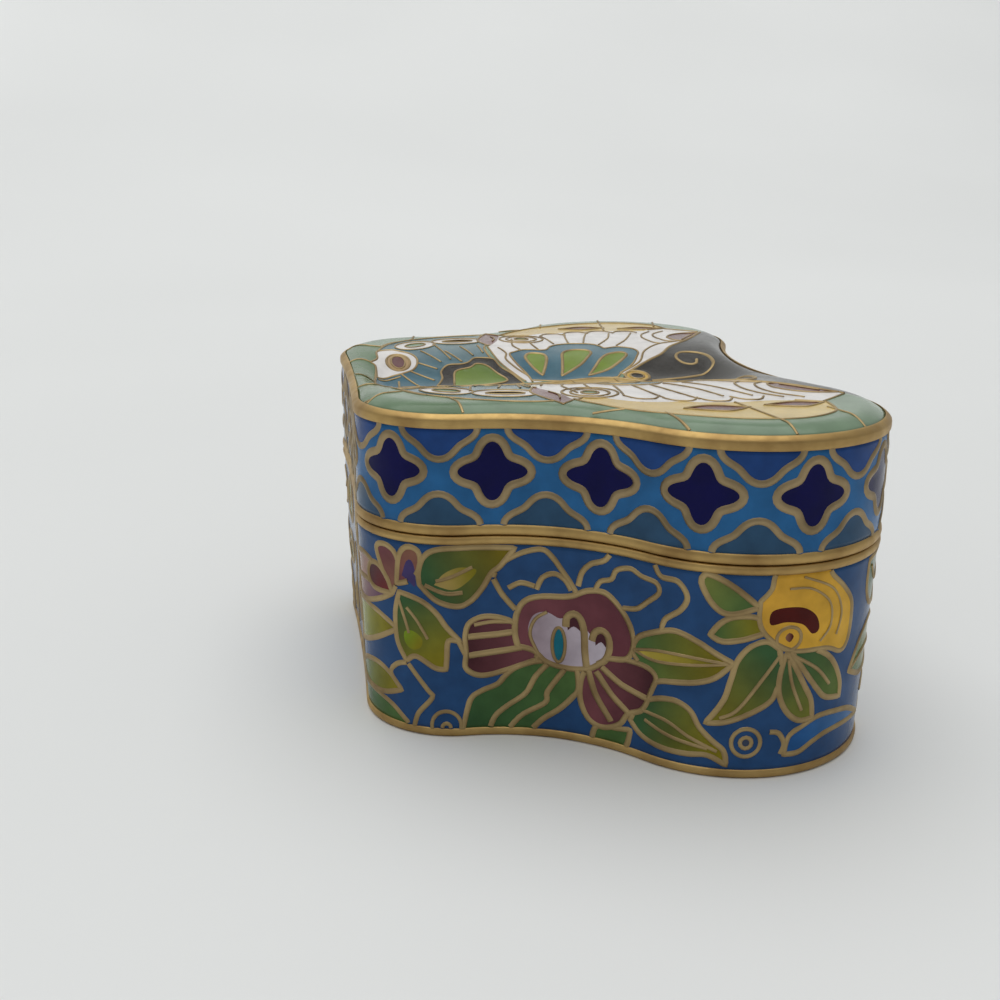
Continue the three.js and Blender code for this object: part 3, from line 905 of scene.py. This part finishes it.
hind_wing = [
    patch([(-27, 0, 1), (-27, 9, 1), (-29, 16), (-24, 28), (-16, 29), (-4, 27), (1.5, 30), (6, 40),
           (16, 41), (27, 36), (28, 24), (23, 16, 1), (19.5, 27), (14, 33), (8, 33), (2, 30), (-5, 23),
           (-8.5, 23), (-13, 22), (-17, 20), (-20, 17.5), (-22, 13.5), (-22.5, 10), (-23, 5),
           (-23.5, 0, 1)], BORDER_GREEN),
    fine([(-23.4, 8.1, 1), (-25, 8.6), (-28, 8.2), (-28, 0, 1), (-23.5, 0, 1), (-22.9, 4), (-22.9, 7.4)],
         TAIL_GREEN),
    fine([(-23.4, 8.1, 1), (-25, 8.6), (-28, 8.2, 1), (-28, 15), (-25, 17.4), (-21.6, 15.4), (-22.3, 12.7),
          (-22.5, 10)], TAIL_GREEN),
    fine([(-21.6, 15.4, 1), (-25, 17.4), (-27, 20), (-25, 26), (-19, 27), (-16.4, 25.2, 1), (-17.4, 20),
          (-20.2, 17.6)], BORDER_GREEN, TAIL_GREEN),
    fine([(-23.5, 0, 1), (-23, 5), (-22.5, 10), (-22, 13.5), (-20, 17.5), (-17, 20), (-13, 22), (-8.5, 23),
          (-5, 22.6, 1), (-5.6, 18), (-8.4, 14.2), (-8, 8), (-5, 0, 1)], TEAL_BLUE, tint(92, 118, 118)),
    fine([(-23, 3.7, 1), (-22.9, 7.4), (-23.4, 8.1), (-22.5, 10), (-22.3, 12.7), (-20.5, 13.4),
          (-19.2, 12.5), (-18.2, 11.5), (-17.6, 9.8), (-17.8, 7.9), (-18.5, 6.5), (-19.9, 5.6), (-21.1, 5),
          (-22.3, 4.1)], WING_WHITE),
    dot(-20, 8.9, 1.45, 2.5, TAN, width=0.3),
    dot(-20, 8.9, 0.85, 1.85, PURPLE, width=0.24),
    dot(-17.2, 15.8, 3, 2.1, WING_WHITE, tilt=40, width=0.22),
    dot(-17.2, 15.8, 1.6, 0.9, BORDER_GREEN, tilt=40, width=0.2),
    dot(-11.4, 18.2, 3.4, 2.1, WING_WHITE, tilt=8, width=0.22),
    dot(-11.4, 18.2, 2, 0.7, NIGHT, tilt=8, width=0.2),
    fine([(-6.7, 24.3, 1), (-8, 21), (-8.7, 18), (-7.9, 14.9, 1), (-5.6, 16.4), (-4.5, 19.3), (-5.1, 22.2)],
         PURPLE, tint(128, 88, 84)),
    rib((-6.4, 21.6), (-6.2, 19.6), (-6.8, 17.8), width=0.2),
    rib((-17.5, 8.4), (-15.4, 6.7)),
    rib((-16.8, 12.7), (-14.7, 8.6)),
    rib((-13.7, 12.4), (-12.1, 8.6)),
    rib((-11.5, 14.6), (-10.4, 10.5)),
    rib((-18.7, 6.2), (-16.1, 3.6)),
    rib((-19.9, 5.5), (-18, 1.5)),
    rib((-22.9, 3.1), (-20.1, 4.8)),
    rib((-14.8, 16.4), (-14.2, 13), (-13.4, 9.4)),
    rib((-9.2, 15), (-9, 11.4)),
    rib((-20.6, 0.4), (-20.4, 3.4)),
    fine([(-16, 1.7, 1), (-15.1, 4.1), (-15, 6), (-13.95, 7.7), (-12.3, 7.9), (-11.3, 8.4), (-10.4, 9.6),
          (-8.95, 9.6), (-8, 9.1), (-7.5, 6.95), (-6.3, 4.8), (-5.4, 1.95, 1), (-10, 1.2)], NIGHT),
    fine([(-13.95, 1.5, 1), (-13.7, 3.6), (-13.2, 6), (-11.3, 6.95), (-10.4, 7.9), (-9.2, 7.4), (-8.2, 5.3),
          (-7.3, 3.1), (-9.9, 1.9)], PETAL_LIME, tint(96, 120, 50)),
]
fore_wing = [
    fine([(-5, 22.8, 1), (-2, 26.6), (2, 30), (8, 33), (14, 33.6), (18.5, 31), (19.6, 26.8, 1), (15, 25),
          (10, 25.5), (5, 24.5), (1, 24), (-3, 21)], BAND_YELLOW, tint(206, 180, 112)),
    fine([(4.4, 28, 1), (7.4, 26.9), (11, 28.2, 1), (8.2, 29.7)], PURPLE),
    fine([(12.8, 27.4, 1), (16.2, 26.2), (19.2, 26.9, 1), (16.4, 28.6)], PURPLE),
    rib((10.3, 25.4), (11.1, 30.1), (12.4, 38.2), width=THIN),
    rib((18.6, 29), (20, 34.6), width=THIN),
    rib((2, 29.6), (3.1, 34.6), width=THIN),
    rib((-1.4, 27.4), (-4.4, 26.8), width=THIN),
    patch([(-8, 14.1, 1), (-6.2, 18), (-5.2, 22.2, 1), (-3, 21.2), (1, 24), (5, 24.6), (10, 25.6),
           (15, 25.1), (19.4, 26.4, 1), (23.2, 23, 1), (20, 16), (14.6, 10.4), (7.4, 4.4, 1),
           (-4.3, 2.4, 1), (-5.1, 2.7), (-6.1, 5), (-7.3, 7.9), (-7.8, 10.8)], WING_WHITE),
    rib((-8, 14.1), (-7.8, 10.8), (-7.3, 7.9), (-6.1, 5), (-5.1, 2.7)),
    rib((-6.7, 13.6), (-6.1, 11.2), (-6.45, 9.1), (-5.6, 6.5), (-4.5, 4.3), (-4.3, 2.4)),
    rib((-4, 12.3), (-4.6, 14.7), (-4, 19)),
    rib((-1.7, 12.4), (-2, 14.7), (-2, 16.6)),
    rib((0.9, 15.1), (0.6, 19), (0.3, 21.3)),
    rib((2.9, 15), (3.4, 19.3), (4, 22.7)),
    rib((4.9, 15.1), (6, 19.3), (7.4, 23.9)),
    rib((6.7, 14.1), (8.9, 18.1), (10.3, 22.7)),
    rib((9, 13.6), (11.1, 17), (13.4, 22.7)),
    ring(-2.7, 19, 2.9, 2.9, width=0.3),
    ring(-2.7, 19, 2, 2, width=0.3),
    dot(-2.7, 19, 0.9, 0.9, BORDER_GREEN, width=0.28),
    rib((19.4, 26.4), (23.2, 23)),
    *[rib((x, y), (x + 0.9, y + 1.5), (x + 2.5, y + 1.7), (x + 3.5, y + 0.2))
      for x, y in [(0.4, 21.4), (3.9, 22.8), (7.4, 23.4), (10.9, 23)]],
    fine([(-4.3, 3, 1), (-4.6, 5), (-5.4, 8), (-5.7, 10.7), (-4.9, 11.6), (-3.4, 12.4), (-0.9, 12.1),
          (0.1, 13.6), (1.4, 14.6), (3.4, 15), (5.7, 14.6), (6.7, 13.3), (7.1, 12.4), (8.9, 12.9),
          (10.6, 12.1), (11.1, 10.7), (10.6, 9.3), (9.4, 7), (7.4, 4.7), (6.6, 3.4, 1), (1, 2.4)],
         TEAL_BLUE, tint(84, 118, 128)),
    fine([(-2.7, 4.4, 1), (-3.5, 6.8), (-3.9, 9.4), (-3.4, 10.7), (-2.6, 11), (-1.5, 10.6), (-1.2, 9.4),
          (-1.8, 7)], PETAL_LIME, width=0.42),
    fine([(-0.3, 4.1, 1), (0.2, 6.2), (0.6, 8.1), (1.2, 10.8), (2.6, 11.9), (4.4, 11.8), (4.9, 10.8),
          (4, 9.1), (2.6, 7)], PETAL_LIME, width=0.42),
    fine([(3.1, 4.1, 1), (4.4, 6.4), (5.7, 8.7), (7.1, 10.2), (8.9, 10.7), (9.3, 9.7), (7.7, 7.5),
          (5.7, 5.5)], PETAL_LIME, width=0.42),
    fine([(8, 3.6, 1), (11.7, 7.7), (14, 9.9), (16, 12.5), (17.4, 14), (18.4, 15.4), (17.2, 15.2),
          (14.6, 13.9), (12, 10.9), (10.4, 7.5), (7.2, 4.6, 1)], WING_WHITE),
    fine([(17.4, 17.3), (17.4, 18.7), (18.6, 20.7), (20.6, 21.9), (23, 22.2, 1), (21.7, 19.9), (20, 17.3),
          (18.9, 16), (17.8, 16.1)], PURPLE),
    rib((18.9, 16.6), (20.2, 18.6), (21.6, 20.6), width=0.24),
    rib((18.4, 24.1), (16.3, 21.6), (15.7, 18.7), (16.3, 16.1), (17.4, 15.3)),
    rib((16.3, 23.8), (14.6, 21.3), (13.9, 18.4), (14.3, 15.3), (15.1, 14.4)),
]
night_ground = [
    patch([(5.4, 0, 1), (7.8, 4.4, 1), (11.7, 7.9), (14, 9.9), (16, 12.7), (18.9, 15.7), (21, 18.6),
           (23.4, 22.6, 1), (26, 24), (24, 8), (24, 0, 1)], NIGHT),
    rib((7.8, 4.4), (11.7, 7.9), (14, 9.9), (16, 12.7), (18.9, 15.7), (21, 18.6), (23.4, 22.6), width=0.38),
    wire((10.5, 2), (14, 2.6), (17.7, 3.6), (19.2, 4.8), (19.6, 6.7), (19.4, 8.7), (18.6, 10.1),
         (17.1, 10.4), (16, 9.7), (15.6, 8.4), (16, 7.1), (16.9, 6.6), (17.7, 6.9), (18.1, 7.9),
         width=0.42),
    dot(9.1, 3.6, 1.5, 1.5, tint(196, 158, 70), width=0.36),
    dot(9.1, 3.6, 0.85, 0.85, NIGHT, width=0.24),
]
half_body = [(-15, 1.1), (-9, 1.5), (-3, 2.0), (1.4, 2.9), (5, 3.3), (7.6, 2.7), (9.6, 1.5)]
body_outline = [(-16.6, 0, 1), *half_body, (9.9, 0), *[(x, -y) for x, y in reversed(half_body)]]
insect = [
    cell(body_outline, tint(188, 164, 110), tint(182, 150, 84), width=0.36),
    *[rib((x, -bulge), (x + 0.7, 0), (x, bulge)) for x, bulge in
      [(-13.4, 1.1), (-11.2, 1.3), (-9, 1.4), (-6.8, 1.6), (-4.6, 1.7), (-2.4, 1.9), (0.6, 2.6), (6, 3)]],
]


def inset_at(x, y):
    """How far a place on the lid is from its edge."""
    found = math.inf
    for arc in PLAN:
        away = Vector((x, y)) - arc.centre
        turn = (math.atan2(away.y, away.x) - arc.start) * math.copysign(1, arc.sweep)
        turn = turn % (2 * math.pi)
        if turn <= abs(arc.sweep) + ARC_OVERLAP:
            gap = away.length - arc.radius if arc.hollow else arc.radius - away.length
            found = min(found, gap)
    return max(found, 0)


def top_place(x, y, height):
    return Vector((x, y, dome_height(y, inset_at(x, y)) + height - TOP_SINK))


one_side = hind_wing + fore_wing + night_ground
butterfly = one_side + moved(one_side, 0, -NEAR_STRETCH) + insect
top_field = [Vector(p) for p in round_the_plan(TOP_EDGE)]
top_runs = uncovered(butterfly, top_field)
middle = [spot for spot in even_fill(top_field) if inset_at(*spot) > SLOPE_WIDTH]
slope_step = (SLOPE_WIDTH - TOP_EDGE) / SLOPE_ROUNDS
slope = [Vector(p) for i in range(1, SLOPE_ROUNDS) for p in round_the_plan(TOP_EDGE + slope_step * i)]
top_face = fire_glaze(butterfly, top_field, top_place, BORDER_GREEN, top_runs, slope + middle)
top_enamel = slab("lid_top_glaze", top_face)
top_enamel.data.materials.append(enamel_material("butterfly_enamel", mottle=0.1, gloss=0.25))
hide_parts("lid_top_enamel")
top_wires = bend_wires("lid_top_wires", top_runs, top_place)
top_wires.data.materials.append(wire_gilt)

# The setting. A pale paper table runs back behind the box and sweeps up, under one broad soft light
# overhead, in a pale room.
TABLE_REACH = 1.6
TABLE_BACK = 0.25
SWEEP_RADIUS, SWEEP_STEPS = 1.4, 32
sweep = bmesh.new()
front = [sweep.verts.new((x, -TABLE_REACH, 0)) for x in (-TABLE_REACH, TABLE_REACH)]
drawn = bmesh.ops.extrude_edge_only(sweep, edges=[sweep.edges.new(front)])["geom"]
back = [g for g in drawn if isinstance(g, bmesh.types.BMVert)]
bmesh.ops.translate(sweep, verts=back, vec=(0, TABLE_REACH + TABLE_BACK, 0))
back_edge = [edge for edge in sweep.edges if all(vert in back for vert in edge.verts)]
sweep_centre = Vector((0, TABLE_BACK, SWEEP_RADIUS))
bmesh.ops.spin(
    sweep, geom=back + back_edge, cent=sweep_centre, axis=(1, 0, 0), angle=math.pi / 2, steps=SWEEP_STEPS
)
bmesh.ops.recalc_face_normals(sweep, faces=sweep.faces)
for face in sweep.faces:
    face.smooth = True
table_mesh = bpy.data.meshes.new("table")
sweep.to_mesh(table_mesh)
sweep.free()
table_top = bpy.data.objects.new("table", table_mesh)
bpy.context.scene.collection.objects.link(table_top)
paper, nodes, links, shader = new_material("pale_table")
pale = ramp(nodes, links, noise(nodes, links, 3, 2), [(0.3, tint(226, 227, 225)), (0.7, tint(232, 233, 231))])
links.new(pale, shader.inputs["Base Color"])
shader.inputs["Roughness"].default_value = 0.6
table_top.data.materials.append(paper)

world = bpy.data.worlds.new("room")
bpy.context.scene.world = world
world.use_nodes = True
world.node_tree.nodes["Background"].inputs["Color"].default_value = (0.96, 0.98, 1, 1)
world.node_tree.nodes["Background"].inputs["Strength"].default_value = 0.42
bpy.context.scene.view_settings.view_transform = "Standard"

light_place, light_aim = Vector((-0.1, 0.35, 2.2)), Vector((0, 0.15, 0))
lamp = bpy.data.lights.new("overhead", "AREA")
lamp.shape = "DISK"
lamp.size = 3.0
lamp.energy = 35
light = bpy.data.objects.new("overhead", lamp)
light.location = light_place
light.rotation_euler = (light_aim - light_place).to_track_quat("-Z", "Y").to_euler()
bpy.context.scene.collection.objects.link(light)

eye = Vector((-32.374, -139.477, 58.307)) * MM
ahead = Vector((0.16154, 0.94905, -0.27058)).normalized()
upright = Vector((0.03860, 0.26790, 0.96267))
side = ahead.cross(upright).normalized()
lens = bpy.data.cameras.new("camera")
lens.sensor_width = 36
lens.lens = 43.52
lens.clip_start = 0.005
camera = bpy.data.objects.new("camera", lens)
camera.matrix_world = Matrix((
    (side.x, side.cross(ahead).x, -ahead.x, eye.x),
    (side.y, side.cross(ahead).y, -ahead.y, eye.y),
    (side.z, side.cross(ahead).z, -ahead.z, eye.z),
    (0, 0, 0, 1),
))
bpy.context.scene.collection.objects.link(camera)
bpy.context.scene.camera = camera
